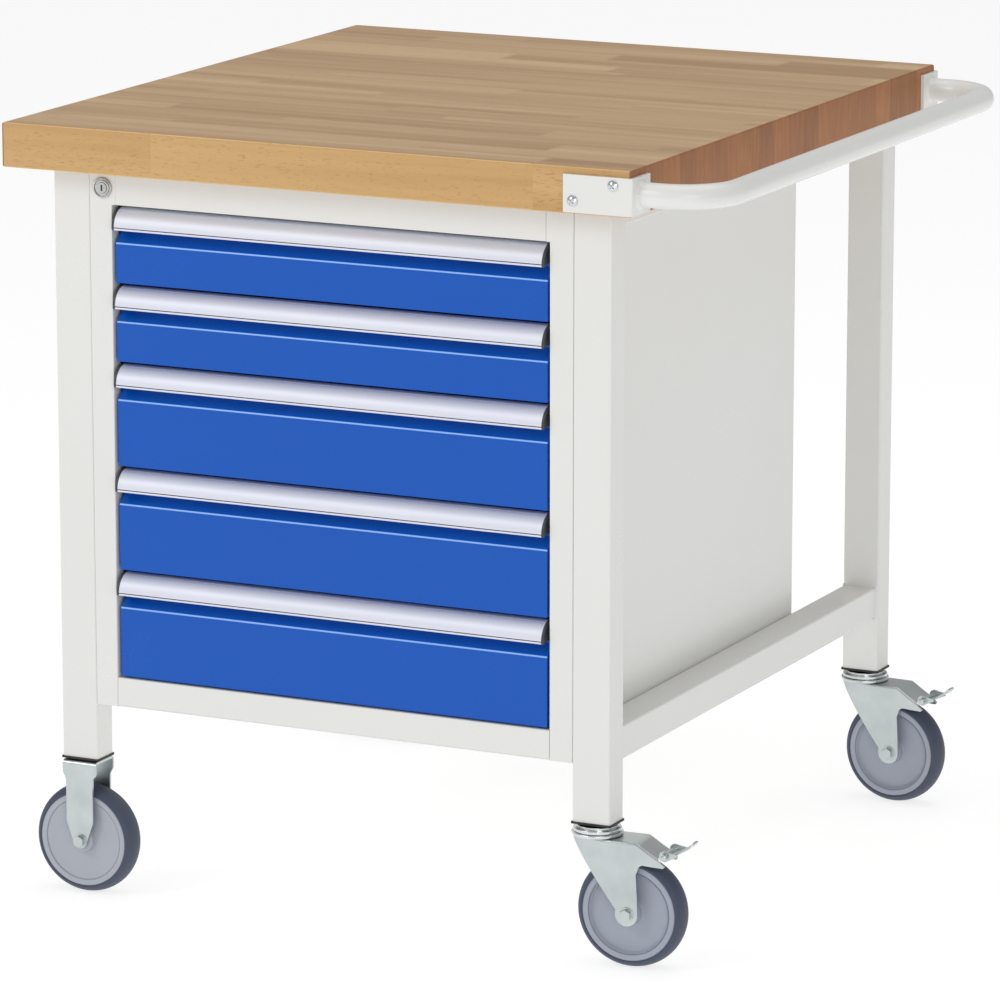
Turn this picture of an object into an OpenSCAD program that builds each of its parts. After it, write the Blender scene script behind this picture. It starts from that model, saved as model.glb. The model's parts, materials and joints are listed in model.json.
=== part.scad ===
/* [Worktop] */
// Width of the worktop, left to right
top_w = 760; // [740:1:900]
// Depth of the worktop, front to back
top_d = 850; // [830:1:950]
// Thickness of the worktop
top_t = 50; // [45:1:60]
// Height of the working surface above the floor
top_h = 880; // [870:1:920]
// Rounding of the worktop's edges
top_edge_r = 2.5; // [1:0.5:5]

/* [Frame] */
// Outer width of the frame over its legs
frame_w = 678; // [670:1:700]
// Outer depth of the frame over its legs
frame_d = 791; // [760:1:800]
// Overhang of the worktop past the left legs
overhang_left = 47; // [30:1:60]
// Overhang of the worktop past the front legs
overhang_front = 30; // [20:1:40]
// Width of a leg, left to right
leg_w = 45; // [40:1:50]
// Depth of a leg, front to back
leg_d = 35; // [32:1:45]
// Wall of the frame's tubes
tube_wall = 2; // [1.5:0.5:3]
// Corner radius of the frame's tubes
tube_r = 2.5; // [2:0.5:4]
// Width of a side rail, left to right
rail_w = 40; // [35:1:42]
// Height of a lower side rail
rail_h = 38; // [30:1:45]
// Underside of the lower side rails above the floor
rail_z = 222.5; // [210:0.5:240]
// Height of the upper rails
upper_rail_h = 22; // [15:1:24]

/* [Cabinet] */
// Depth of the drawer cabinet
cabinet_d = 600; // [580:1:640]
// Underside of the cabinet above the floor
cabinet_z = 223.5; // [215:0.5:230]
// Sheet thickness of the cabinet
sheet = 1.5; // [1:0.1:2]
// Width of the front stile beside the drawers
stile_w = 27.5; // [25:0.5:30]
// Height of the panel above the drawers
top_rail_h = 38; // [34:1:44]
// Height of the panel under the drawers
bottom_rail_h = 33.5; // [28:0.5:40]

/* [Drawers] */
// Height of each drawer's share of the front, from the top down
drawer_h = [88, 88, 118, 118, 122];
// Travel of a drawer when it is pulled out fully
drawer_travel = 500; // [400:10:500]
// Gap between a drawer front and the stile beside it
front_gap = 3.5; // [2:0.5:5]
// Recess of the drawer fronts behind the frame
front_recess = 2; // [0:0.5:5]
// Outer radius of the quarter-round handle strip
strip_r = 22; // [18:1:26]
// Sheet thickness of the drawer trays and fronts
tray_t = 1.2; // [0.8:0.1:1.5]

/* [Push handle] */
// Reach of the push handle past the worktop's end
handle_reach = 100.5; // [80:0.5:120]
// Outer diameter of the push handle's tube
handle_tube_d = 27; // [22:1:32]
// Bend radius of the push handle, on its centre line
handle_bend_r = 60; // [40:5:80]
// Thickness of the corner brackets
bracket_t = 4; // [3:0.5:5]

/* [Casters] */
// Diameter of the wheels
wheel_d = 125; // [120:1:130]
// Width of a wheel's tyre
tyre_w = 32; // [28:1:34]
// Distance from a swivel axis to its axle
trail = 42; // [36:1:45]
// Height of a caster over its mounting plate
caster_h = 155; // [152:1:160]
// Resting turn of the front swivel caster, in degrees
front_swivel_turn = 3; // [-10:1:10]
// Resting turn of the rear swivel caster, in degrees
rear_swivel_turn = -4; // [-10:1:10]

/* [Hidden] */
$fn = 96;
small_fn = 48;
side_names = ["left", "right"];
end_names = ["front", "rear"];
drawer_count = len(drawer_h);

// Colours
beech = [0.83, 0.64, 0.42];
light_grey = [0.88, 0.88, 0.87];
blue = [0.13, 0.33, 0.70];
silver = [0.78, 0.78, 0.84];
zinc = [0.76, 0.79, 0.78];
black = [0.10, 0.10, 0.10];
wheel_grey = [0.42, 0.45, 0.53];

// Places of the main pieces. The bench stands on z = 0, centred on its whole outline.
left_x = -(top_w + handle_reach) / 2;
right_x = left_x + top_w;
front_y = -top_d / 2;
back_y = top_d / 2;
top_under_z = top_h - top_t;
frame_left = left_x + overhang_left;
frame_right = frame_left + frame_w;
frame_front = front_y + overhang_front;
frame_back = frame_front + frame_d;
end_plate_t = 4;
end_plate_lip = 1.5;
end_plug_h = 16;
end_plug_gap = 0.4;
rail_gap = 1;
leg_bottom_z = caster_h + end_plate_t;
tube_inner_r = 1;

// Cabinet
cabinet_left = frame_left + leg_w;
cabinet_right = frame_right - leg_w;
cabinet_mid = (cabinet_left + cabinet_right) / 2;
cabinet_back_y = frame_front + cabinet_d;
opening_left = cabinet_left + stile_w;
opening_right = cabinet_right - stile_w;
opening_top = top_under_z - top_rail_h;
opening_bottom = cabinet_z + bottom_rail_h;
stile_return = 14.5;
seam_step = 5;
rail_return = 18;

// Drawer number i, counted from 0 at the top
function zone_top(i) = opening_top - (i == 0 ? 0 : sum_heights(i - 1));
function sum_heights(i) = i == 0 ? drawer_h[0] : drawer_h[i] + sum_heights(i - 1);
function zone_bottom(i) = zone_top(i) - drawer_h[i];
front_left = opening_left + front_gap;
front_right = opening_right - front_gap;
face_y = frame_front + front_recess;
recess_depth = 13;
ledge_y = face_y + recess_depth;
front_lift = 1;
strip_drop = 3;
flange_h = 17;
finger_gap = 17.5;
fold_relief = 0.5;
cap_t = 3;
strip_t = 2;
lip_t = 3;
lip_drop = 2;
function strip_z(i) = zone_top(i) - strip_drop - strip_r;
function bend_z(i) = strip_z(i) - finger_gap;
tray_inset = 14;
tray_left = opening_left + tray_inset;
tray_right = opening_right - tray_inset;
tray_front_y = ledge_y + tray_t;
tray_floor_gap = 8;
tray_top_gap = 18;
slide_lift = 26;

// Telescopic slides: three nested channels, seen from the cabinet side inwards
slide_t = 1.4;
outer_slide_half = 22.5;
middle_slide_half = 19.2;
inner_slide_half = 15.2;
outer_slide_x = -1.5;
middle_slide_x = 0.5;
slide_depth = 12.9;
middle_slide_depth = 10.5;
inner_slide_depth = 11;
slide_front_y = frame_front + 30;
slide_overlap = 42;
slide_back_y = slide_front_y + drawer_travel + slide_overlap;
slide_end_gap = 4;
tray_back_y = slide_back_y - slide_end_gap;
middle_slide_front_gap = 2;
middle_slide_back_gap = 10;
spacer_w = 30;
spacer_inset = 40;

// Lock
lock_x = cabinet_left + 17;
lock_z = top_under_z - 19.5;
rosette_r = 11.5;
barrel_r = 8.5;
rosette_t = 2.5;
plug_r = 6;
running_gap = 0.05;
cut = 1;
cam_y = frame_front + 22;
cam_t = 2;
cam_r = 6;
cam_half_w = 2.3;
cam_pin_r = 1.25;
pin_gap = 0.3;
pin_dip = 1.3;
bar_x = cabinet_left + 5;
bar_t = 1.5;

// Push handle and brackets
handle_r = handle_tube_d / 2;
handle_wall = 2;
handle_out_x = right_x + handle_reach - handle_r;
handle_inset = 18;
handle_z = top_under_z + 23;
bracket_z = top_under_z + 2;
bracket_h = 40.5;
bracket_plate_w = 76.5;
bracket_flange_w = 45;
screw_r = 3;
screw_hole_r = 3.2;
screw_head_r = 6.2;
screw_head_h = 3.4;
screw_len = 30;
screw_tip_gap = 2;
screw_dome = 5;
recess_len = 6.4;
recess_w = 1.3;
recess_depth_y = 1.8;
screw_places = [[-65.4, 12.5], [-18.7, 31.5]];

// Casters
wheel_r = wheel_d / 2;
axle_r = 6;
hub_w = 36;
fork_gap = 37;
fork_t = 3;
fork_out = fork_gap / 2 + fork_t;
left_caster_x = frame_left + leg_w / 2;
right_caster_x = frame_right - leg_w / 2;
front_caster_y = frame_front + leg_d / 2;
rear_caster_y = frame_back - leg_d / 2;
head_r = 28.5;
head_h = 11;
head_low_z = caster_h - head_h;
kingpin_r = 6;
pedal_pivot_x = 84;
pedal_pivot_z = 131;
pedal_pin_r = 3;
fork_end_r = 9;
fork_leg_w = 34;
fork_top_w = 42;
fork_taper_z = wheel_r + 22;
fork_shoulder_z = wheel_r + 72;
fork_shoulder_h = 5;
bolt_r = 8.6;
bolt_h = 5.5;
bolt_end = 1;

// ---- Shapes that several pieces share ----

// Rectangle with true round corners, centred
module rounded_rect(w, d, r) {
    square([w - 2 * r, d], center = true);
    square([w, d - 2 * r], center = true);
    for (x = [-1, 1], y = [-1, 1]) {
        translate([x * (w / 2 - r), y * (d / 2 - r)])
            circle(r = r, $fn = small_fn);
    }
}

// Section of a rectangular steel tube, centred
module tube_section(w, d) {
    difference() {
        rounded_rect(w, d, tube_r);
        rounded_rect(w - 2 * tube_wall, d - 2 * tube_wall, tube_inner_r);
    }
}

// Tube that runs along y between two depths, centred on x and z
module tube_along_y(x, z, w, h, y0, y1) {
    translate([x, y1, z])
        rotate([90, 0, 0])
            linear_extrude(height = y1 - y0)
                tube_section(w, h);
}

// Shape drawn in (y, z) and run along x between two places
module along_x(x0, x1) {
    translate([x0, 0, 0])
        rotate([90, 0, 90])
            linear_extrude(height = x1 - x0)
                children();
}

// Shape drawn in (x, z) and run along y between two places
module along_y(y0, y1) {
    translate([0, y1, 0])
        rotate([90, 0, 0])
            linear_extrude(height = y1 - y0)
                children();
}

// Round bar along y
module rod_y(x, z, r, y0, y1) {
    translate([x, y1, z])
        rotate([90, 0, 0])
            cylinder(r = r, h = y1 - y0);
}

// Children drawn for the left side, and mirrored about the cabinet's middle for the right
module on_side(side) {
    if (side == "left") {
        children();
    } else {
        translate([2 * cabinet_mid, 0, 0])
            mirror([1, 0, 0])
                children();
    }
}

// ---- Worktop and frame ----

module worktop() {
    mid_x = (left_x + right_x) / 2;
    mid_z = top_h - top_t / 2;
    color(beech)
        difference() {
            intersection() {
                along_x(left_x, right_x)
                    translate([0, mid_z])
                        rounded_rect(top_d, top_t, top_edge_r);
                along_y(front_y, back_y)
                    translate([mid_x, mid_z])
                        rounded_rect(top_w, top_t, top_edge_r);
            }
            for (p = screw_places) {
                rod_y(right_x + p[0], bracket_z + p[1], screw_r, front_y - cut, front_y + screw_len);
                rod_y(right_x + p[0], bracket_z + p[1], screw_r, back_y - screw_len, back_y + cut);
            }
        }
}

module leg(x, y) {
    color(light_grey)
        translate([x, y, leg_bottom_z])
            linear_extrude(height = top_under_z - leg_bottom_z)
                tube_section(leg_w, leg_d);
}

function rail_x(side) = side == "left"
    ? cabinet_left - rail_gap - rail_w / 2
    : cabinet_right + rail_gap + rail_w / 2;

module lower_rail(side) {
    color(light_grey)
        tube_along_y(rail_x(side), rail_z + rail_h / 2, rail_w, rail_h,
            frame_front + leg_d, frame_back - leg_d);
}

module upper_rail(side) {
    color(light_grey)
        tube_along_y(rail_x(side), top_under_z - upper_rail_h / 2, rail_w, upper_rail_h,
            frame_front + leg_d, frame_back - leg_d);
}

module rear_upper_rail() {
    color(light_grey)
        translate([cabinet_left, frame_back - leg_d / 2, top_under_z - upper_rail_h / 2])
            rotate([90, 0, 90])
                linear_extrude(height = cabinet_right - cabinet_left)
                    tube_section(leg_d, upper_rail_h);
}

module leg_end_plates() {
    color(black)
        for (x = [left_caster_x, right_caster_x], y = [front_caster_y, rear_caster_y]) {
            translate([x, y, caster_h]) {
                linear_extrude(height = end_plate_t)
                    rounded_rect(leg_w + 2 * end_plate_lip, leg_d + 2 * end_plate_lip, tube_r);
                translate([0, 0, end_plate_t])
                    linear_extrude(height = end_plug_h)
                        square([leg_w - 2 * (tube_wall + end_plug_gap),
                            leg_d - 2 * (tube_wall + end_plug_gap)], center = true);
            }
        }
}

// ---- Cabinet ----

// Side sheet with its folded front stile, drawn for the left side
module cabinet_side_shape() {
    difference() {
        union() {
            translate([cabinet_left, frame_front, cabinet_z])
                cube([sheet, cabinet_d, top_under_z - cabinet_z]);
            translate([cabinet_left, frame_front, cabinet_z])
                cube([stile_w, sheet, top_under_z - cabinet_z]);
            translate([opening_left - cut, frame_front, opening_top])
                cube([seam_step + cut, sheet, top_rail_h]);
            translate([opening_left - sheet, frame_front, cabinet_z])
                cube([sheet, sheet + stile_return, top_under_z - cabinet_z]);
        }
        children();
    }
}

module cabinet_left_side() {
    color(light_grey)
        cabinet_side_shape()
            rod_y(lock_x, lock_z, barrel_r + running_gap, frame_front - cut, frame_front + sheet + cut);
}

module cabinet_right_side() {
    color(light_grey)
        on_side("right")
            cabinet_side_shape();
}

module cabinet_back() {
    color(light_grey)
        translate([cabinet_left + sheet, cabinet_back_y - sheet, cabinet_z + sheet])
            cube([cabinet_right - cabinet_left - 2 * sheet, sheet, top_under_z - cabinet_z - sheet]);
}

module cabinet_floor() {
    floor_front = frame_front + sheet;
    color(light_grey)
        difference() {
            translate([cabinet_left + sheet, floor_front, cabinet_z])
                cube([cabinet_right - cabinet_left - 2 * sheet, cabinet_d - sheet, sheet]);
            for (side = side_names) {
                on_side(side)
                    translate([opening_left - sheet, frame_front - cut, cabinet_z - cut])
                        cube([sheet, sheet + stile_return + cut, sheet + 2 * cut]);
            }
        }
}

// Folded front panel between the stiles, open at the back
module front_panel(x0, x1, z0, z1) {
    color(light_grey)
        along_x(x0, x1)
            translate([frame_front, z0])
                difference() {
                    square([sheet + rail_return, z1 - z0]);
                    translate([sheet, sheet])
                        square([rail_return + cut, z1 - z0 - 2 * sheet]);
                }
}

module cabinet_top_rail() {
    front_panel(opening_left + seam_step, opening_right - seam_step, opening_top, top_under_z);
}

module cabinet_bottom_rail() {
    front_panel(opening_left, opening_right, cabinet_z + sheet, opening_bottom);
}

// ---- Drawer slides ----

// Channel along y on the left side: web at x, flanges reach inwards by depth
module channel(x, half, depth, z, y0, y1) {
    along_y(y0, y1)
        translate([x, z - half])
            difference() {
                square([depth, 2 * half]);
                translate([slide_t, slide_t])
                    square([depth, 2 * half - 2 * slide_t]);
            }
}

function slide_z(i) = zone_bottom(i) + tray_floor_gap + slide_lift;

module outer_slide(i) {
    web_x = opening_left + outer_slide_x;
    channel(web_x, outer_slide_half, slide_depth, slide_z(i), slide_front_y, slide_back_y);
    for (y = [slide_front_y + spacer_inset, slide_back_y - spacer_inset - spacer_w]) {
        translate([cabinet_left + sheet, y, slide_z(i) - inner_slide_half])
            difference() {
                cube([web_x - cabinet_left - sheet, spacer_w, 2 * inner_slide_half]);
                translate([-cut, slide_t, slide_t])
                    cube([web_x - cabinet_left + 2 * cut, spacer_w - 2 * slide_t,
                        2 * (inner_slide_half - slide_t)]);
            }
    }
}

module outer_slides() {
    color(zinc)
        for (i = [0 : drawer_count - 1], side = side_names) {
            on_side(side)
                outer_slide(i);
        }
}

module middle_slides(i) {
    color(zinc)
        for (side = side_names) {
            on_side(side)
                channel(opening_left + middle_slide_x, middle_slide_half, middle_slide_depth,
                    slide_z(i), slide_front_y + middle_slide_front_gap,
                    slide_back_y - middle_slide_back_gap);
        }
}

// Runner fixed to the tray: web against the tray, flanges reach outwards
module inner_runner(i) {
    along_y(slide_front_y, tray_back_y)
        translate([tray_left - inner_slide_depth, slide_z(i) - inner_slide_half])
            difference() {
                square([inner_slide_depth, 2 * inner_slide_half]);
                translate([-slide_t, slide_t])
                    square([inner_slide_depth, 2 * inner_slide_half - 2 * slide_t]);
            }
}

// ---- Drawers ----

module tray(i) {
    floor_z = zone_bottom(i) + tray_floor_gap;
    rim_z = zone_top(i) - tray_top_gap;
    color(light_grey) {
        difference() {
            translate([tray_left, tray_front_y, floor_z])
                cube([tray_right - tray_left, tray_back_y - tray_front_y, rim_z - floor_z]);
            translate([tray_left + tray_t, tray_front_y + tray_t, floor_z + tray_t])
                cube([tray_right - tray_left - 2 * tray_t, tray_back_y - tray_front_y - 2 * tray_t, rim_z]);
        }
        for (side = side_names) {
            on_side(side)
                inner_runner(i);
        }
    }
}

// Outline of a drawer front in (y, z): upright face, ledge sloping back, upright flange
module front_outline(i) {
    bottom_z = zone_bottom(i) + front_lift;
    polygon([
        [face_y, bottom_z],
        [face_y, bend_z(i)],
        [ledge_y, bend_z(i) + recess_depth],
        [ledge_y, zone_top(i) - strip_drop],
        [ledge_y + tray_t, zone_top(i) - strip_drop],
        [ledge_y + tray_t, bottom_z]
    ]);
}

// Space inside the folded front, open towards the tray
module front_hollow(i) {
    bottom_z = zone_bottom(i) + front_lift + tray_t;
    fold_z = bend_z(i) - fold_relief;
    polygon([
        [face_y + tray_t, bottom_z],
        [face_y + tray_t, fold_z],
        [ledge_y, fold_z + recess_depth - tray_t],
        [ledge_y + tray_t + cut, fold_z + recess_depth - tray_t],
        [ledge_y + tray_t + cut, bottom_z]
    ]);
}

module drawer_front(i) {
    color(blue)
        difference() {
            along_x(front_left, front_right)
                front_outline(i);
            along_x(front_left + tray_t, front_right - tray_t)
                front_hollow(i);
        }
}

// Aluminium handle strip: a quarter-round shell with a lip and a back flange
module handle_strip(i) {
    color(silver)
        along_x(front_left + cap_t, front_right - cap_t)
            translate([ledge_y, strip_z(i)]) {
                intersection() {
                    difference() {
                        circle(r = strip_r);
                        circle(r = strip_r - strip_t);
                    }
                    translate([-strip_r, 0])
                        square([strip_r, strip_r]);
                }
                translate([-strip_r, -lip_drop])
                    square([lip_t, lip_drop]);
                translate([-strip_t, strip_r - strip_t / 2 - flange_h])
                    square([strip_t, flange_h]);
            }
}

// ---- Lock ----

module lock_housing() {
    barrel_back_y = frame_front + 20;
    color(zinc)
        difference() {
            union() {
                rod_y(lock_x, lock_z, rosette_r, frame_front - rosette_t, frame_front);
                rod_y(lock_x, lock_z, barrel_r, frame_front - cut, barrel_back_y);
            }
            rod_y(lock_x, lock_z, plug_r + running_gap, frame_front - rosette_t - cut, barrel_back_y + cut);
        }
}

// Plug with its keyway, and the cam behind it that carries a crank pin
module lock_plug() {
    keyway_w = 1.6;
    keyway_h = 6.5;
    keyway_depth = 16;
    plug_front_y = frame_front - rosette_t - 0.5;
    color(zinc)
        difference() {
            union() {
                rod_y(lock_x, lock_z, plug_r, plug_front_y, cam_y + cam_t);
                translate([lock_x - cam_half_w, cam_y, lock_z - cam_r])
                    cube([2 * cam_half_w, cam_t, cam_r]);
                rod_y(lock_x, lock_z - cam_r, cam_half_w, cam_y, cam_y + cam_t);
                rod_y(lock_x, lock_z - cam_r, cam_pin_r, cam_y, cam_y + 3 * cam_t);
            }
            translate([lock_x - keyway_w / 2, plug_front_y - cut, lock_z - keyway_h / 2])
                cube([keyway_w, keyway_depth + cut, keyway_h]);
        }
}

// Upright bar in the left stile. The cam's pin lifts it by the slot in its head plate.
module locking_bar() {
    bar_y = frame_front + 6;
    bar_w = 8;
    hook_reach = 10;
    hook_half = 6;
    head_y = cam_y + cam_t + 0.5;
    head_drop = 18;
    head_low_z = lock_z - head_drop;
    head_h = 22;
    color(zinc) {
        translate([bar_x, bar_y, opening_bottom])
            cube([bar_t, bar_w, head_low_z + head_h - opening_bottom]);
        for (i = [0 : drawer_count - 1]) {
            translate([bar_x, bar_y + bar_w - bar_t, slide_z(i) - hook_half])
                cube([hook_reach, bar_t, 2 * hook_half]);
        }
        translate([bar_x, bar_y + bar_w - cut, head_low_z])
            cube([bar_t, head_y - bar_y - bar_w + cut, head_h]);
        difference() {
            translate([bar_x, head_y, head_low_z])
                cube([lock_x - bar_x + cam_r, bar_t, head_h]);
            translate([lock_x - cam_r - cam_pin_r - pin_gap, head_y - cut,
                    lock_z - cam_r - pin_dip - cam_pin_r - pin_gap])
                cube([cam_r + 2 * (cam_pin_r + pin_gap), bar_t + 2 * cut,
                    2 * (cam_pin_r + pin_gap) + pin_dip]);
        }
    }
}

// ---- Push handle ----

// Section of the push handle's round tube
module round_tube_section() {
    difference() {
        circle(r = handle_r);
        circle(r = handle_r - handle_wall);
    }
}

// Straight ends, two bends and the long bar between them, joined end to end
module push_handle() {
    half_run = back_y - handle_inset - handle_bend_r;
    bend_x = handle_out_x - handle_bend_r;
    start_x = right_x + bracket_t;
    color(light_grey) {
        for (end = [-1, 1]) {
            translate([start_x, end * (back_y - handle_inset), handle_z])
                rotate([0, 90, 0])
                    linear_extrude(height = bend_x - start_x)
                        round_tube_section();
            translate([bend_x, end * half_run, handle_z])
                rotate([0, 0, end > 0 ? 0 : -90])
                    rotate_extrude(angle = 90)
                        translate([handle_bend_r, 0])
                            round_tube_section();
        }
        translate([handle_out_x, half_run, handle_z])
            rotate([90, 0, 0])
                linear_extrude(height = 2 * half_run)
                    round_tube_section();
    }
}

// Corner bracket at the front; the rear one is its mirror image
module handle_bracket_shape() {
    difference() {
        union() {
            translate([right_x - bracket_plate_w, front_y - bracket_t, bracket_z])
                cube([bracket_plate_w + bracket_t, bracket_t, bracket_h]);
            translate([right_x, front_y - bracket_t, bracket_z])
                cube([bracket_t, bracket_flange_w, bracket_h]);
        }
        for (p = screw_places) {
            rod_y(right_x + p[0], bracket_z + p[1], screw_hole_r, front_y - bracket_t - cut, front_y + cut);
        }
    }
}

module front_handle_bracket() {
    color(light_grey)
        handle_bracket_shape();
}

module rear_handle_bracket() {
    color(light_grey)
        mirror([0, 1, 0])
            handle_bracket_shape();
}

// Pan head with a cross recess, and its shank in the worktop
module bracket_screw(x, z) {
    head_y = front_y - bracket_t - screw_head_h;
    difference() {
        union() {
            intersection() {
                rod_y(x, z, screw_head_r, head_y, front_y - bracket_t);
                translate([x, front_y - bracket_t + screw_dome, z])
                    sphere(r = screw_head_h + screw_dome);
            }
            rod_y(x, z, screw_r - running_gap, front_y - bracket_t - cut,
                front_y + screw_len - screw_tip_gap);
        }
        for (turn = [45, 135]) {
            translate([x, head_y, z])
                rotate([0, turn, 0])
                    cube([recess_len, 2 * recess_depth_y, recess_w], center = true);
        }
    }
}

module bracket_screws() {
    color(zinc)
        for (p = screw_places, end = [0, 1]) {
            mirror([0, end, 0])
                bracket_screw(right_x + p[0], bracket_z + p[1]);
        }
}

// ---- Casters ----
// Each caster is drawn with its mounting axis on x = 0, y = 0.

module wheel(x) {
    color(wheel_grey)
        translate([x, 0, wheel_r])
            rotate([90, 0, 0])
                rotate_extrude()
                    wheel_section();
}

// Half section of a wheel in (radius, width): crowned tyre, dished centre and hub
module wheel_section() {
    bore_r = axle_r + running_gap;
    crown_r = 24;
    rim_r = 54;
    rim_band = 10;
    rim_half = tyre_w / 2 - 0.5;
    web_half = 5;
    hub_r = 14;
    intersection() {
        translate([rim_r - cut, -tyre_w / 2])
            square([wheel_r - rim_r + cut, tyre_w]);
        translate([wheel_r - crown_r, 0])
            circle(r = crown_r);
    }
    translate([bore_r, -web_half])
        square([rim_r - bore_r, 2 * web_half]);
    translate([rim_r - rim_band, -rim_half])
        square([rim_band, 2 * rim_half]);
    translate([bore_r, -hub_w / 2])
        square([hub_r - bore_r, hub_w]);
}

// Leg of a fixed fork in (x, z): round end at the axle, taper, straight part and shoulders
module fork_leg_outline() {
    translate([0, wheel_r])
        circle(r = fork_end_r);
    polygon([
        [-fork_end_r, wheel_r],
        [fork_end_r, wheel_r],
        [fork_leg_w / 2, fork_taper_z],
        [fork_leg_w / 2, fork_shoulder_z],
        [fork_top_w / 2, fork_shoulder_z + fork_shoulder_h],
        [fork_top_w / 2, caster_h],
        [-fork_top_w / 2, caster_h],
        [-fork_top_w / 2, fork_shoulder_z + fork_shoulder_h],
        [-fork_leg_w / 2, fork_shoulder_z],
        [-fork_leg_w / 2, fork_taper_z]
    ]);
}

module fixed_fork() {
    color(zinc)
        difference() {
            union() {
                for (side = [-1, 1]) {
                    along_y(side > 0 ? fork_gap / 2 : -fork_out, side > 0 ? fork_out : -fork_gap / 2)
                        fork_leg_outline();
                }
                translate([-fork_top_w / 2, -fork_out, caster_h - fork_t])
                    cube([fork_top_w, 2 * fork_out, fork_t]);
            }
            rod_y(0, wheel_r, axle_r + running_gap, -fork_out - cut, fork_out + cut);
        }
}

// Axle with a hex head at the front and a hex nut at the back
module axle(x) {
    color(zinc)
        translate([x, 0, 0]) {
            rod_y(0, wheel_r, axle_r, -fork_out - bolt_end, fork_out + 2 * bolt_end);
            for (end_y = [-fork_out, fork_out + bolt_h]) {
                translate([0, end_y, wheel_r])
                    rotate([90, 0, 0])
                        cylinder(r = bolt_r, h = bolt_h, $fn = 6);
            }
        }
}

// Two-tier raceway ring with the kingpin that the fork turns on
module swivel_head() {
    neck_r = 22;
    neck_h = 2.5;
    upper_tier_r = head_r - 2;
    upper_tier_h = 4;
    turn_gap = 0.3;
    lower_tier_h = head_h - neck_h - upper_tier_h - turn_gap;
    kingpin_drop = 9;
    kingpin_head_r = 10;
    kingpin_head_h = 5;
    color(zinc) {
        translate([0, 0, caster_h - neck_h])
            cylinder(r = neck_r, h = neck_h);
        translate([0, 0, caster_h - neck_h - upper_tier_h])
            cylinder(r = upper_tier_r, h = upper_tier_h);
        translate([0, 0, head_low_z + turn_gap])
            cylinder(r = head_r, h = lower_tier_h);
        translate([0, 0, head_low_z - kingpin_drop])
            cylinder(r = kingpin_r, h = kingpin_drop + cut);
        translate([0, 0, head_low_z - kingpin_drop])
            cylinder(r = kingpin_head_r, h = kingpin_head_h);
    }
}

// Side plate of a swivel fork in (x, z): leg down to the axle and arm out to the brake
module swivel_plate_outline() {
    end_r = 13;
    nose_x = 4.5 - head_r;
    arm_x = trail + 8;
    translate([trail, wheel_r])
        circle(r = end_r);
    polygon([
        [nose_x, head_low_z],
        [nose_x, head_low_z - 6],
        [trail - end_r + 1, wheel_r - 5],
        [trail, wheel_r],
        [trail + end_r, wheel_r],
        [trail + 10.5, wheel_r + 55],
        [trail + 13.5, wheel_r + 60.5],
        [trail + 18, wheel_r + 63.5],
        [pedal_pivot_x + 4, pedal_pivot_z - 8.5],
        [pedal_pivot_x + 6, pedal_pivot_z - 2.5],
        [pedal_pivot_x + 2, pedal_pivot_z + 3.5],
        [arm_x + 18, head_low_z - 3],
        [arm_x, head_low_z]
    ]);
}

module swivel_fork() {
    color(zinc)
        difference() {
            union() {
                for (side = [-1, 1]) {
                    along_y(side > 0 ? fork_gap / 2 : -fork_out, side > 0 ? fork_out : -fork_gap / 2)
                        swivel_plate_outline();
                }
                translate([0, 0, head_low_z - fork_t])
                    cylinder(r = head_r, h = fork_t);
                translate([0, -fork_out, head_low_z - fork_t])
                    cube([trail + 8, 2 * fork_out, fork_t]);
            }
            rod_y(trail, wheel_r, axle_r + running_gap, -fork_out - cut, fork_out + cut);
            translate([0, 0, head_low_z - fork_t - cut])
                cylinder(r = kingpin_r + running_gap, h = fork_t + 2 * cut);
            rod_y(pedal_pivot_x, pedal_pivot_z, pedal_pin_r + running_gap, -fork_out - cut, fork_out + cut);
        }
}

// Brake pedal: cross pin, two cheeks and a foot plate that turns up at its tip
module brake_pedal() {
    cheek_y = fork_gap / 2 - 1;
    cheek_t = 2.5;
    cheek_r = 6;
    pin_end = 1.5;
    tip_x = 31;
    tip_z = 14;
    color(zinc)
        translate([pedal_pivot_x, 0, pedal_pivot_z]) {
            rod_y(0, 0, pedal_pin_r, -fork_out - pin_end, fork_out + pin_end);
            for (y0 = [-cheek_y, cheek_y - cheek_t]) {
                along_y(y0, y0 + cheek_t) {
                    circle(r = cheek_r);
                    polygon([[-4, 4], [4, -4], [17, 2], [14, 7]]);
                }
            }
            along_y(-cheek_y, cheek_y)
                polygon([
                    [8, 4],
                    [10, 2],
                    [tip_x - 8, tip_z - 5.5],
                    [tip_x, tip_z],
                    [tip_x - 2, tip_z + 2],
                    [tip_x - 9, tip_z - 3]
                ]);
        }
}

// Depth and resting turn of a caster at the front or the rear
function caster_y(end) = end == "front" ? front_caster_y : rear_caster_y;
function swivel_turn(end) = end == "front" ? front_swivel_turn : rear_swivel_turn;

// Puts a caster under its leg
module at_caster(x, y, turn) {
    translate([x, y, 0])
        rotate([0, 0, turn])
            children();
}

module fixed_axles() {
    for (y = [front_caster_y, rear_caster_y]) {
        at_caster(left_caster_x, y, 0)
            axle(0);
    }
}

// ---- Every node ----

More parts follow.
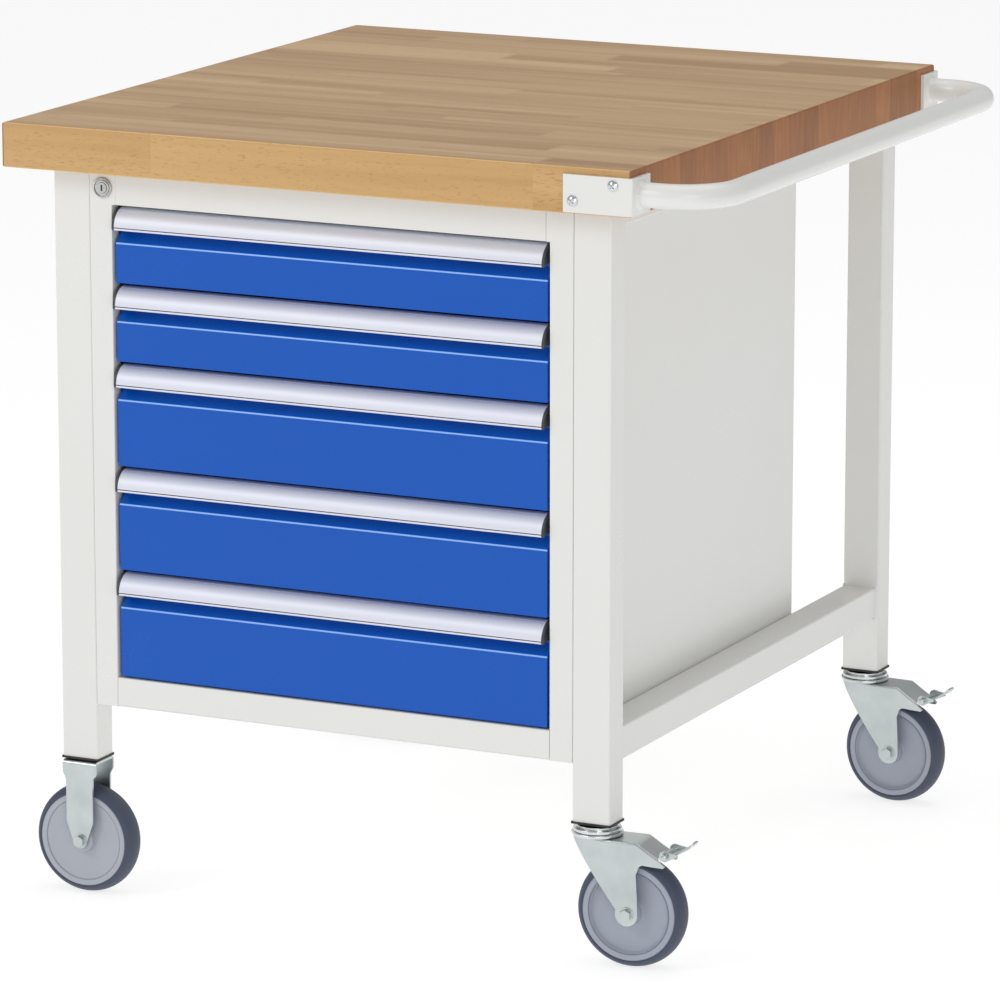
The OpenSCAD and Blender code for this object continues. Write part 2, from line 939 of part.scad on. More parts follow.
worktop();
leg(left_caster_x, front_caster_y);  // front_left_leg
leg(right_caster_x, front_caster_y);  // front_right_leg
leg(left_caster_x, rear_caster_y);  // rear_left_leg
leg(right_caster_x, rear_caster_y);  // rear_right_leg
lower_rail("left");  // left_lower_rail
lower_rail("right");  // right_lower_rail
upper_rail("left");  // left_upper_rail
upper_rail("right");  // right_upper_rail
rear_upper_rail();
cabinet_left_side();
cabinet_right_side();
cabinet_back();
cabinet_floor();
cabinet_top_rail();
cabinet_bottom_rail();
outer_slides();
lock_housing();
lock_plug();
locking_bar();
push_handle();
front_handle_bracket();
rear_handle_bracket();
bracket_screws();
leg_end_plates();
fixed_axles();
for (end = end_names) {
    at_caster(left_caster_x, caster_y(end), 0) {
        fixed_fork();
        wheel(0);
    }
    at_caster(right_caster_x, caster_y(end), swivel_turn(end)) {
        swivel_head();
        swivel_fork();
        axle(trail);
        brake_pedal();
        wheel(trail);
    }
}
for (i = [0 : drawer_count - 1]) {
    tray(i);
    drawer_front(i);
    handle_strip(i);
    middle_slides(i);
}
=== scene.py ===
import json
from math import cos, degrees, hypot, pi, radians, sin, sqrt

import bmesh
import bpy
from mathutils import Matrix, Vector


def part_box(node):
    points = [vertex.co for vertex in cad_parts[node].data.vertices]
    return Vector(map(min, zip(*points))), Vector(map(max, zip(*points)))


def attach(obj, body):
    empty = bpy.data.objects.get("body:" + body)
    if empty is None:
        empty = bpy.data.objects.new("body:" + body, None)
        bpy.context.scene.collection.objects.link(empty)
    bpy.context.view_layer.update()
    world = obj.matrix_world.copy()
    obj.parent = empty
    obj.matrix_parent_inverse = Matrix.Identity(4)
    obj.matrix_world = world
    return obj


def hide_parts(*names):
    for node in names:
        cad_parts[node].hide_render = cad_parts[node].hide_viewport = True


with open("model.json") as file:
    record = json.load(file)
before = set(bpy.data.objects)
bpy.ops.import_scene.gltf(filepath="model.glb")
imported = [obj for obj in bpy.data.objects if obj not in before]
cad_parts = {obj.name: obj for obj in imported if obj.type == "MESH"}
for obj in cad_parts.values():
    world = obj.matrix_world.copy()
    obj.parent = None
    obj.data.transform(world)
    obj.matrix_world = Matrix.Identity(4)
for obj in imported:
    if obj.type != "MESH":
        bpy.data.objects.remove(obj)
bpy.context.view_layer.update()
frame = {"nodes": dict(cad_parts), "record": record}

print("frame loaded:", len(frame["nodes"]), "nodes")

mm = 0.001
drawers = range(1, 6)
bodies = frame["record"]["behaviour"]["bodies"]
bodyOfNode = {node: body for body, nodes in bodies.items() for node in nodes}


class Wire:
    # an output socket that can stand in a sum
    def __init__(self, finish, socket):
        self.finish, self.socket = finish, socket

    def worked(self, operation, *inputs):
        return self.finish.add("ShaderNodeMath", {"operation": operation}, dict(enumerate(inputs)))

    def __add__(self, other):
        return self.worked("ADD", self, other)

    def __radd__(self, other):
        return self.worked("ADD", other, self)

    def __sub__(self, other):
        return self.worked("SUBTRACT", self, other)

    def __rsub__(self, other):
        return self.worked("SUBTRACT", other, self)

    def __mul__(self, other):
        return self.worked("MULTIPLY", self, other)

    def __rmul__(self, other):
        return self.worked("MULTIPLY", other, self)

    def __truediv__(self, other):
        return self.worked("DIVIDE", self, other)

    def __gt__(self, other):
        return self.worked("GREATER_THAN", self, other)

    def __abs__(self):
        return self.worked("ABSOLUTE", self)

    def floor(self):
        return self.worked("FLOOR", self)

    def fraction(self):
        return self.worked("FRACT", self)


class Finish:
    # a material with one surface shader; slotName is the record's material slot
    def __init__(self, name, slotName, constants):
        self.material = bpy.data.materials.new(name)
        self.material.use_nodes = True
        self.slotName = slotName
        self.nodes = self.material.node_tree.nodes
        self.links = self.material.node_tree.links
        self.shader = self.nodes["Principled BSDF"]
        for socketName, value in constants.items():
            self.shader.inputs[socketName].default_value = value
        self.place = self.add("ShaderNodeTexCoord", {}, {}, "Object")

    def add(self, kind, settings, sockets, out=0):
        node = self.nodes.new(kind)
        for key, value in settings.items():
            if key == "stops":
                ramp = node.color_ramp
                while len(ramp.elements) < len(value):
                    ramp.elements.new(1)
                for element, (position, colour) in zip(ramp.elements, value):
                    element.position = position
                    element.color = colour
            else:
                setattr(node, key, value)
        for key, value in sockets.items():
            if isinstance(value, Wire):
                self.links.new(value.socket, node.inputs[key])
            else:
                node.inputs[key].default_value = value
        return Wire(self, node.outputs[out])

    def feed(self, socketName, wire):
        self.links.new(wire.socket, self.shader.inputs[socketName])

    def axes(self):
        # x, y and z of the place, as three wires
        split = self.nodes.new("ShaderNodeSeparateXYZ")
        self.links.new(self.place.socket, split.inputs[0])
        return [Wire(self, output) for output in split.outputs]

    def stretched(self, scales):
        return self.add("ShaderNodeVectorMath", {"operation": "MULTIPLY"}, {0: self.place, 1: scales})

    def noise(self, scale, detail, scales=(1, 1, 1)):
        sockets = {"Vector": self.stretched(scales), "Scale": scale, "Detail": detail}
        return self.add("ShaderNodeTexNoise", {}, sockets)

    def ramp(self, factor, stops):
        return self.add("ShaderNodeValToRGB", {"stops": stops}, {"Fac": factor})

    def mixed(self, factor, first, second):
        settings = {"data_type": "RGBA", "blend_type": "MIX"}
        return self.add("ShaderNodeMix", settings, {0: factor, 6: first, 7: second}, 2)

    def bump(self, height, distance):
        return self.add("ShaderNodeBump", {}, {"Height": height, "Distance": distance}, "Normal")


def tint(red, green, blue):
    return (red, green, blue, 1)


paintLook = {
    "cloudScale": 5, "cloudRough": 0.06, "peelScale": 520, "peelRough": 0.05, "peelDepth": 0.012 * mm}


def powderPaint(name, slotName, light, dark, bendHighlightTone, rough, shine):
    # paint with slight orange peel; a vertex attribute turns it to a painted highlight colour along marked
    # bends
    paint = Finish(name, slotName, {"Specular IOR Level": shine})
    cloud = paint.noise(paintLook["cloudScale"], 3)
    peel = paint.noise(paintLook["peelScale"], 2)
    fold = paint.add("ShaderNodeAttribute", {"attribute_name": "fold"}, {}, "Fac")
    paint.feed("Base Color", paint.mixed(fold, paint.mixed(cloud, dark, light), bendHighlightTone))
    paint.feed("Roughness", rough + paintLook["cloudRough"] * cloud + paintLook["peelRough"] * peel)
    paint.feed("Normal", paint.bump(peel, paintLook["peelDepth"]))
    return paint


woodLook = {
    "staveWidth": 0.042, "staveLength": 0.46, "fingerLength": 0.007, "fingerPitch": 0.007,
    "topLight": tint(0.63, 0.435, 0.245), "topDark": tint(0.40, 0.235, 0.112),
    "sideLight": tint(0.96, 0.68, 0.31), "sideDark": tint(0.62, 0.355, 0.118),
    "endLight": tint(0.50, 0.205, 0.066), "endDark": tint(0.24, 0.092, 0.029),
    "fleck": tint(0.26, 0.115, 0.04),
    "topSeam": 0.10, "sideSeam": 0.36, "topFleck": 0.22, "sideFleck": 0.40,
    "topTone": 0.40, "sideTone": 0.36, "topGrain": 1.5, "sideGrain": 0.95,
    "grainAlong": 2.2, "grainAcross": 62, "wideScale": 0.28, "fleckAlong": 130, "fleckAcross": 900,
    "rowShift": 6, "staveDrift": 7, "longSeam": 0.488, "buttSeam": 0.4985,
    "poreScale": 900, "ringScales": (1, 190, 22), "skin": 1.6 * mm}


def beechWood(box):
    # laminated staves along x, with finger joints, flecks, and end grain at both ends
    look = woodLook
    low, high = box
    wood = Finish("oiledBeech", "beech", {"Specular IOR Level": 0.45})
    x, y, z = wood.axes()
    atSide = abs(y - (low.y + high.y) / 2) > (high.y - low.y) / 2 - look["skin"]
    atEnd = abs(x - (low.x + high.x) / 2) > (high.x - low.x) / 2 - look["skin"]

    def share(kind):
        # a strength that differs between the top and the long sides
        return look["top" + kind] + (look["side" + kind] - look["top" + kind]) * atSide

    acrossStaves = (y - low.y) / look["staveWidth"]
    row = acrossStaves.floor()
    shift = wood.add("ShaderNodeTexWhiteNoise", {"noise_dimensions": "1D"}, {"W": row + 3.5}, "Value")
    finger = wood.add("ShaderNodeMath", {"operation": "PINGPONG"}, {0: y, 1: look["fingerPitch"] / 2})
    along = (x + finger * (2 * look["fingerLength"] / look["fingerPitch"])) / look["staveLength"]
    along = along + shift * look["rowShift"]
    stave = wood.add("ShaderNodeCombineXYZ", {}, {"X": row, "Y": along.floor()})
    tone = wood.add("ShaderNodeTexWhiteNoise", {"noise_dimensions": "2D"}, {"Vector": stave}, "Value")
    drift = tone * look["staveDrift"]
    grainPlace = wood.add("ShaderNodeCombineXYZ", {}, {
        "X": x * look["grainAlong"] + drift, "Y": y * look["grainAcross"] + drift,
        "Z": z * look["grainAcross"]})
    grain = wood.add("ShaderNodeTexNoise", {}, {
        "Vector": grainPlace, "Scale": 1, "Detail": 5, "Roughness": 0.6})
    wide = wood.add("ShaderNodeTexNoise", {}, {"Vector": grainPlace, "Scale": look["wideScale"], "Detail": 2})
    fleckPlace = wood.add("ShaderNodeCombineXYZ", {}, {
        "X": x * look["fleckAlong"], "Y": y * look["fleckAcross"] + drift, "Z": z * look["fleckAcross"]})
    fleck = wood.add("ShaderNodeTexNoise", {}, {"Vector": fleckPlace, "Scale": 1, "Detail": 1})
    shade = 0.5 + (tone - 0.5) * share("Tone") + (0.9 * (grain - 0.5) + 1.1 * (wide - 0.5)) * share("Grain")
    longGrain = wood.mixed(shade, wood.mixed(atSide, look["topDark"], look["sideDark"]),
                           wood.mixed(atSide, look["topLight"], look["sideLight"]))
    fleckMask = wood.ramp(fleck + 0.25 * (wide - 0.5), [(0.60, tint(0, 0, 0)), (0.72, tint(1, 1, 1))])
    longGrain = wood.mixed(fleckMask * share("Fleck"), longGrain, look["fleck"])
    longSeam = abs(acrossStaves.fraction() - 0.5) > look["longSeam"]
    seam = longSeam.worked("MAXIMUM", longSeam, abs(along.fraction() - 0.5) > look["buttSeam"])
    longGrain = wood.mixed(seam * share("Seam"), longGrain, look["endDark"])
    pores = wood.noise(look["poreScale"], 2)
    rings = wood.noise(1, 4, look["ringScales"])
    endGrain = wood.mixed(0.42 * tone + 0.90 * rings - 0.14, look["endDark"], look["endLight"])
    endGrain = wood.mixed(pores * 0.30, endGrain, look["endDark"])
    wood.feed("Base Color", wood.mixed(atEnd, longGrain, endGrain))
    wood.feed("Roughness", 0.50 + 0.10 * grain - 0.06 * fleck)
    wood.feed("Normal", wood.bump(grain - 0.6 * seam + 0.3 * fleck, 0.05 * mm))
    return wood


metalLook = {
    "aluminium": tint(0.80, 0.82, 0.91), "aluminiumDark": tint(0.71, 0.73, 0.82),
    "zinc": tint(0.69, 0.73, 0.725), "zincDark": tint(0.43, 0.48, 0.485),
    "chrome": tint(0.86, 0.86, 0.86), "nickel": tint(0.60, 0.60, 0.585), "nickelDark": tint(0.44, 0.44, 0.43),
    "brushScales": (4, 2600, 2600), "brushDepth": 0.006 * mm, "gritScale": 700}


def anodisedAluminium():
    # fine drawn lines along x
    silver = Finish("anodisedAluminium", "anodised_aluminium", {"Metallic": 0.35})
    lines = silver.noise(1, 3, metalLook["brushScales"])
    cloud = silver.noise(6, 2)
    shade = 0.6 * lines + 0.4 * cloud
    silver.feed("Base Color", silver.mixed(shade, metalLook["aluminiumDark"], metalLook["aluminium"]))
    silver.feed("Roughness", 0.46 + 0.08 * lines)
    silver.feed("Normal", silver.bump(lines, metalLook["brushDepth"]))
    return silver


def platedMetal(name, light, dark, rough, cloudScale, depth):
    metal = Finish(name, "zinc_plated_steel", {"Metallic": 1.0})
    cloud = metal.noise(cloudScale, 3)
    grit = metal.noise(metalLook["gritScale"], 2)
    metal.feed("Base Color", metal.mixed(cloud, dark, light))
    metal.feed("Roughness", rough + 0.14 * cloud + 0.06 * grit)
    metal.feed("Normal", metal.bump(grit, depth))
    return metal


plasticLook = {"cloudScale": 22, "cloudRough": 0.10, "gritScale": 950, "gritRough": 0.08, "shine": 0.5}


def mouldedPlastic(name, slotName, light, dark, rough, depth=0.012 * mm):
    plastic = Finish(name, slotName, {"Specular IOR Level": plasticLook["shine"]})
    cloud = plastic.noise(plasticLook["cloudScale"], 3)
    grit = plastic.noise(plasticLook["gritScale"], 2)
    plastic.feed("Base Color", plastic.mixed(cloud, dark, light))
    plastic.feed("Roughness", rough + plasticLook["cloudRough"] * cloud + plasticLook["gritRough"] * grit)
    plastic.feed("Normal", plastic.bump(grit, depth))
    return plastic


# the third tint of each paint is the painted highlight colour for marked bends
lightPaint = powderPaint(
    "lightGreyPaint", "light_grey_paint", tint(0.80, 0.80, 0.775), tint(0.765, 0.765, 0.74),
    tint(0.88, 0.88, 0.87), rough=0.20, shine=0.5)
bluePaint = powderPaint(
    "bluePaint", "blue_paint", tint(0.003, 0.097, 0.505), tint(0.002, 0.088, 0.470),
    tint(0.26, 0.50, 1.0), rough=0.20, shine=0.28)
beech = beechWood(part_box("worktop"))
aluminium = anodisedAluminium()
zinc = platedMetal("zincPlate", metalLook["zinc"], metalLook["zincDark"], 0.24, 30, 0.010 * mm)
brightZinc = platedMetal("brightZinc", metalLook["chrome"], metalLook["zincDark"], 0.12, 45, 0.004 * mm)
nickel = platedMetal("nickelPlate", metalLook["nickel"], metalLook["nickelDark"], 0.16, 60, 0.004 * mm)
blackPlastic = mouldedPlastic(
    "blackPlastic", "black_plastic", tint(0.022, 0.022, 0.022), tint(0.012, 0.012, 0.012), 0.42)
capPlastic = mouldedPlastic(
    "capPlastic", "black_plastic", tint(0.052, 0.060, 0.066), tint(0.036, 0.042, 0.048), 0.40)
wheelPlastic = mouldedPlastic(
    "wheelPlastic", "wheel_rubber", tint(0.37, 0.40, 0.475), tint(0.32, 0.345, 0.41), 0.38)
# the same wheel plastic made paler for the fixed wheels: the extra lightness is painted light
paintedLightWheelPlastic = mouldedPlastic(
    "paintedLightWheelPlastic", "wheel_rubber", tint(0.42, 0.447, 0.50), tint(0.37, 0.395, 0.45), 0.38)
tyreRubber = mouldedPlastic(
    "tyreRubber", "wheel_rubber", tint(0.060, 0.074, 0.118), tint(0.042, 0.054, 0.090), 0.44, 0.02 * mm)
print("finishes made")


def finished(bm, name, finish, body, replaced=(), smoothAngle=32, outward=True):
    if outward:
        bmesh.ops.recalc_face_normals(bm, faces=bm.faces)
    mesh = bpy.data.meshes.new(name)
    bm.to_mesh(mesh)
    bm.free()
    piece = bpy.data.objects.new(name, mesh)
    bpy.context.scene.collection.objects.link(piece)
    mesh.materials.append(finish.material)
    for face in mesh.polygons:
        face.use_smooth = True
    mesh.set_sharp_from_angle(angle=radians(smoothAngle))
    shading = piece.modifiers.new("evenShading", "WEIGHTED_NORMAL")
    shading.keep_sharp = True
    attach(piece, body)
    if replaced:
        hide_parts(*replaced)
    return piece


def painted(node, finish):
    # a CAD node that keeps its own shape
    slots = frame["nodes"][node].material_slots
    if not slots:
        frame["nodes"][node].data.materials.append(finish.material)
    for slot in slots:
        slot.material = finish.material


def cadCopy(node):
    bm = bmesh.new()
    bm.from_mesh(frame["nodes"][node].data)
    for layer in list(bm.loops.layers.uv):
        bm.loops.layers.uv.remove(layer)
    bmesh.ops.remove_doubles(bm, verts=bm.verts, dist=0.01 * mm)
    bmesh.ops.dissolve_limit(bm, angle_limit=radians(0.6), verts=bm.verts, edges=bm.edges)
    return bm


def sharpEdges(bm, wanted=None, angle=34):
    return [edge for edge in bm.edges if len(edge.link_faces) == 2
            and edge.calc_face_angle(0) > radians(angle) and (wanted is None or wanted(edge))]


def rounded(bm, edges, width, segments=2):
    if edges:
        bmesh.ops.bevel(bm, geom=edges, offset=width, offset_type="OFFSET", segments=segments, profile=0.5,
                        affect="EDGES", clamp_overlap=True, loop_slide=True, material=-1)


def softened(node, finish, width, segments=2, bends=None, bendWidth=0, name=None):
    # the CAD shape with its bends and its edges rounded
    bm = cadCopy(node)
    if bends:
        rounded(bm, sharpEdges(bm, bends), bendWidth, 4)
    rounded(bm, sharpEdges(bm), width, segments)
    return finished(bm, name or node + "Soft", finish, bodyOfNode[node], [node], outward=False)


def chain(bm, points, closed=False):
    # vertices joined by edges
    verts = [bm.verts.new(point) for point in points]
    ends = verts[1:] + verts[:1] if closed else verts[1:]
    return [bm.edges.new(pair) for pair in zip(verts, ends)]


def plate(bm, outline, offset):
    # a filled outline, made thick by the offset
    edges = chain(bm, outline, closed=True)
    face = bmesh.ops.contextual_create(bm, geom=edges)["faces"]
    made = bmesh.ops.extrude_face_region(bm, geom=face)["geom"]
    moved = [v for v in made if isinstance(v, bmesh.types.BMVert)]
    bmesh.ops.translate(bm, verts=moved, vec=offset)
    return edges


def spun(bm, profile, axis="Y", steps=96):
    # a closed outline of (radius, along) turned full circle about the axis
    spots = {"X": lambda r, a: (a, r, 0), "Y": lambda r, a: (r, a, 0), "Z": lambda r, a: (r, 0, a)}[axis]
    direction = {"X": (1, 0, 0), "Y": (0, 1, 0), "Z": (0, 0, 1)}[axis]
    edges = chain(bm, [spots(radius, along) for radius, along in profile], closed=True)
    verts = list({v for edge in edges for v in edge.verts})
    bmesh.ops.spin(bm, geom=verts + edges, cent=(0, 0, 0), axis=direction, dvec=(0, 0, 0),
                   angle=2 * pi, steps=steps, use_merge=True)
    return bm


def settled(bm, place, turn=0):
    # drawn in millimetres about the origin, then put in its place
    bmesh.ops.scale(bm, vec=(mm, mm, mm), verts=bm.verts)
    bmesh.ops.rotate(bm, verts=bm.verts, cent=(0, 0, 0), matrix=Matrix.Rotation(radians(turn), 3, "Z"))
    bmesh.ops.translate(bm, verts=bm.verts, vec=place)
    return bm


def addBm(bm, other):
    # one shape added to another
    mesh = bpy.data.meshes.new("part")
    other.to_mesh(mesh)
    other.free()
    bm.from_mesh(mesh)
    bpy.data.meshes.remove(mesh)


def arc(centre, radius, start, end, steps):
    # points on an arc, its angles in degrees
    angles = [radians(start + (end - start) * i / steps) for i in range(steps + 1)]
    return [(centre[0] + radius * cos(a), centre[1] + radius * sin(a)) for a in angles]


def middleOf(node):
    low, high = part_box(node)
    return (Vector(low) + Vector(high)) / 2


def near(a, b, gap=0.2 * mm):
    return abs(a - b) < gap


def bothEnds(edge, test):
    return all(test(v.co) for v in edge.verts)


topLook = {"cornerRound": 1.4 * mm}
softened("worktop", beech, topLook["cornerRound"], 3, name="worktopBoard")
print("worktop made")


frameLook = {"weldWidth": 1.5 * mm, "weldHollow": 0.35, "weldInside": 0.6 * mm, "weldLap": 0.02 * mm}
legs = ["front_left_leg", "front_right_leg", "rear_left_leg", "rear_right_leg"]
rails = ["left_lower_rail", "right_lower_rail", "left_upper_rail", "right_upper_rail"]
for node in legs + rails + ["rear_upper_rail"]:
    painted(node, lightPaint)


def weldBead(bm, low, high, y, outward):
    # a painted weld around a rail's end, thin against the rail and wide against the leg
    weld = frameLook["weldWidth"]
    hollow = frameLook["weldHollow"] * weld
    section = [(-frameLook["weldLap"], weld), (hollow, hollow), (weld, 0), (-frameLook["weldInside"], 0)]
    loops = []
    for grow, along in section:
        corners = [(low.x - grow, low.z - grow), (high.x + grow, low.z - grow),
                   (high.x + grow, high.z + grow), (low.x - grow, high.z + grow)]
        loops.append(chain(bm, [(x, y + outward * along, z) for x, z in corners], closed=True))
    for first, second in zip(loops, loops[1:] + loops[:1]):
        bmesh.ops.bridge_loops(bm, edges=first + second)


for node in rails:
    low, high = (Vector(corner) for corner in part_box(node))
    bm = bmesh.new()
    weldBead(bm, low, high, low.y, 1)
    weldBead(bm, low, high, high.y, -1)
    finished(bm, node + "Welds", lightPaint, "bench", smoothAngle=60)

endPlateLook = {"taperStart": 0.45, "taperIn": 5.5 * mm, "edgeRound": 0.3 * mm}


def endPlates():
    # black plates under the legs; their lower part tapers in
    bm = cadCopy("leg_end_plates")
    low = Vector(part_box("leg_end_plates")[0])
    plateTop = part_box("front_left_leg")[0][2]
    bend = low.z + endPlateLook["taperStart"] * (plateTop - low.z)
    bmesh.ops.bisect_plane(bm, geom=bm.verts[:] + bm.edges[:] + bm.faces[:],
                           plane_co=(0, 0, bend), plane_no=(0, 0, 1))
    middles = [middleOf(leg) for leg in legs]
    for v in bm.verts:
        if near(v.co.z, low.z):
            centre = min(middles, key=lambda m: hypot(m.x - v.co.x, m.y - v.co.y))
            for axis in "xy":
                side = getattr(v.co, axis) - getattr(centre, axis)
                setattr(v.co, axis, getattr(v.co, axis) - endPlateLook["taperIn"] * (1 if side > 0 else -1))
    rims = sharpEdges(bm, lambda e: bothEnds(e, lambda c: near(c.z, plateTop)))
    rounded(bm, rims, endPlateLook["edgeRound"])
    finished(bm, "legEndPlates", blackPlastic, "bench", ["leg_end_plates"], smoothAngle=25)


endPlates()
print("frame made")


cabinetLook = {"edgeRound": 0.45 * mm, "bendRound": 1.3 * mm}
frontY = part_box("cabinet_left_side")[0][1]


def stileBend(edge):
    upright = abs(edge.verts[0].co.z - edge.verts[1].co.z) > 5 * mm
    return upright and bothEnds(edge, lambda c: near(c.y, frontY))


def panelBend(edge):
    level = near(edge.verts[0].co.z, edge.verts[1].co.z)
    return level and bothEnds(edge, lambda c: near(c.y, frontY))


for node in ("cabinet_left_side", "cabinet_right_side"):
    softened(node, lightPaint, cabinetLook["edgeRound"], 2, stileBend, cabinetLook["bendRound"])
for node in ("cabinet_top_rail", "cabinet_bottom_rail"):
    softened(node, lightPaint, cabinetLook["edgeRound"] * 0.5, 2, panelBend, cabinetLook["bendRound"])
for node in ("cabinet_back", "cabinet_floor"):
    softened(node, lightPaint, cabinetLook["edgeRound"])
painted("outer_slides", zinc)
print("cabinet made")


# highlightBand is the half width of the painted highlight along each front's bend
drawerLook = {
    "edgeRound": 0.6 * mm, "bendRound": 1.8 * mm, "highlightBand": 0.8 * mm,
    "hemWidth": 7.0, "hemThick": 1.2, "hemDrop": 5.0, "hemRound": 0.35 * mm,
    "hemIn": 11.0, "hemGap": 1.2, "hemEnd": 1.6,
    "stripRadius": 22.0, "stripWall": 2.0, "lipWall": 3.0, "lipDrop": 2.0, "flangeHigh": 17.0,
    "grooveAngle": 112.0, "grooveWide": 1.1, "grooveDeep": 0.9,
    "lipGroove": 1.5, "lipGrooveDeep": 0.9, "beadTop": 0.4, "darkLineDeep": (0.3, 1.2), "darkLineHigh": (0.35, 1.35),
    "capThick": 3.0, "capPast": 0.2, "capRound": 0.5 * mm, "clear": 0.05}


def stripOutline():
    # (y, z) about the centre of the quarter round: band, groove, curved face, bead and back flange
    look = drawerLook
    radius, wall, lip, clear = look["stripRadius"], look["stripWall"], look["lipWall"], look["clear"]
    spread = degrees(look["grooveWide"] / radius / 2)
    centre, grooveAt = (0, 0), look["grooveAngle"]
    bead = (lip / 2 - radius, lip / 2 - look["lipDrop"])
    lipFace = look["lipGrooveDeep"] - radius
    flangeEnd = radius - wall / 2 - look["flangeHigh"]
    points = arc(centre, radius, 90, grooveAt - spread, 6)
    points += arc(centre, radius - look["grooveDeep"], grooveAt - spread, grooveAt + spread, 1)
    points += arc(centre, radius, grooveAt + spread, 180 - degrees(look["lipGroove"] / radius), 22)
    points += [(lipFace, look["lipGroove"] - 0.2), (lipFace, look["beadTop"])]
    points += arc(bead, lip / 2 - clear, 145, 395, 10)
    points += [(lip - clear - radius, look["beadTop"])]
    points += arc(centre, radius - wall, 179, 95.5, 18)
    points += [(-wall, flangeEnd), (-clear, flangeEnd)]
    return points


def capOutline():
    # the end cap fills the whole quarter round and follows the lip
    look = drawerLook
    radius, lip = look["stripRadius"], look["lipWall"]
    points = arc((0, 0), radius + look["capPast"], 90, 180, 24)
    points += arc((lip / 2 - radius, lip / 2 - look["lipDrop"]), lip / 2, 180, 360, 8)
    return points + [(lip - radius, 0), (-look["clear"], 0)]


def handleStrip(i):
    # the strip, then its end caps and a dark line of cap plastic along the strip above the lip
    node = "drawer_%d_handle_strip" % i
    low, high = (Vector(corner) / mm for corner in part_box(node))
    centreY, centreZ = high.y, high.z - drawerLook["stripRadius"]

    def addPlate(bm, outline, start, length):
        plate(bm, [(start, centreY + y, centreZ + z) for y, z in outline], (length, 0, 0))

    bm = bmesh.new()
    addPlate(bm, stripOutline(), low.x, high.x - low.x)
    settled(bm, (0, 0, 0))
    finished(bm, "drawer%dHandleStrip" % i, aluminium, "drawer_%d" % i, [node], smoothAngle=24)
    bm = bmesh.new()
    thick = drawerLook["capThick"] - 0.1
    front, back = (deep - drawerLook["stripRadius"] for deep in drawerLook["darkLineDeep"])
    bottom, top = drawerLook["darkLineHigh"]
    darkLine = [(front, bottom), (front, top), (back, top), (back, bottom)]
    addPlate(bm, darkLine, low.x + 0.1, high.x - low.x - 0.2)
    for start in (low.x - thick, high.x):
        addPlate(bm, capOutline(), start, thick)
    settled(bm, (0, 0, 0))
    bmesh.ops.recalc_face_normals(bm, faces=bm.faces)
    rims = []
    for x in ((low.x - thick) * mm, (high.x + thick) * mm):
        rims += sharpEdges(bm, lambda e: bothEnds(e, lambda c: near(c.x, x, 0.01 * mm)))
    rounded(bm, rims, drawerLook["capRound"])
    finished(bm, "drawer%dStripCaps" % i, capPlastic, "drawer_%d" % i, smoothAngle=24)


def drawerFront(i):
    # folded sheet; an attribute marks a painted highlight line along its bend
    node = "drawer_%d_front" % i
    low = Vector(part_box(node)[0])

    def foldEdge(edge):
        c0, c1 = edge.verts[0].co, edge.verts[1].co
        level = near(c0.z, c1.z) and abs(c0.x - c1.x) > 100 * mm
        return level and near(c0.y, low.y) and near(c1.y, low.y) and c0.z > low.z + 5 * mm

    bm = cadCopy(node)
    folds = sharpEdges(bm, foldEdge)
    foldZ = folds[0].verts[0].co.z
    rounded(bm, folds, drawerLook["bendRound"], 6)
    rounded(bm, sharpEdges(bm), drawerLook["edgeRound"], 2)
    # vertices along the bend get the painted highlight colour
    layer = bm.verts.layers.float.new("fold")
    for v in bm.verts:
        inPaintedHighlight = abs(v.co.z - foldZ) < drawerLook["highlightBand"] and v.co.y < low.y + drawerLook["highlightBand"]
        v[layer] = 1 if inPaintedHighlight else 0
    finished(bm, "drawer%dFront" % i, bluePaint, "drawer_%d" % i, [node], outward=False)


def trayHems(i):
    # folded rims along the tray's two sides
    look = drawerLook
    low, high = (Vector(corner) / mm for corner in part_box("drawer_%d_tray" % i))
    left, right = low.x + look["hemIn"], high.x - look["hemIn"]
    wide, thick, drop = look["hemWidth"], look["hemThick"], look["hemDrop"]
    start, length, top = low.y + look["hemEnd"], high.y - low.y - 2 * look["hemEnd"], high.z - look["clear"]
    outline = [(0, 0), (wide, 0), (wide, -drop), (wide - thick, -drop), (wide - thick, -thick), (0, -thick)]
    bm = bmesh.new()
    plate(bm, [(left + look["hemGap"] + x, start, top + z) for x, z in outline], (0, length, 0))
    plate(bm, [(right - look["hemGap"] - x, start, top + z) for x, z in outline], (0, length, 0))
    settled(bm, (0, 0, 0))
    bmesh.ops.recalc_face_normals(bm, faces=bm.faces)
    rounded(bm, sharpEdges(bm), look["hemRound"])
    finished(bm, "drawer%dHems" % i, lightPaint, "drawer_%d" % i)


for i in drawers:
    handleStrip(i)
    drawerFront(i)
    trayHems(i)
    painted("drawer_%d_tray" % i, lightPaint)
    painted("drawer_%d_middle_slides" % i, zinc)
print("drawers made")


lockLook = {
    "ringRadius": 11.5, "ringInner": 9.6, "ringRound": 0.9, "proud": 2.5, "barrel": 8.5, "bore": 6.05,
    "groove": [(0.3, 0), (0, 0.4), (-0.1, 1.3), (-0.8, 1.3), (-1.1, 0.35), (-1.4, 0.15)],
    "plugRound": 0.28 * mm, "keyWide": 2.1, "keyTall": 6.8, "keyDeep": 2}


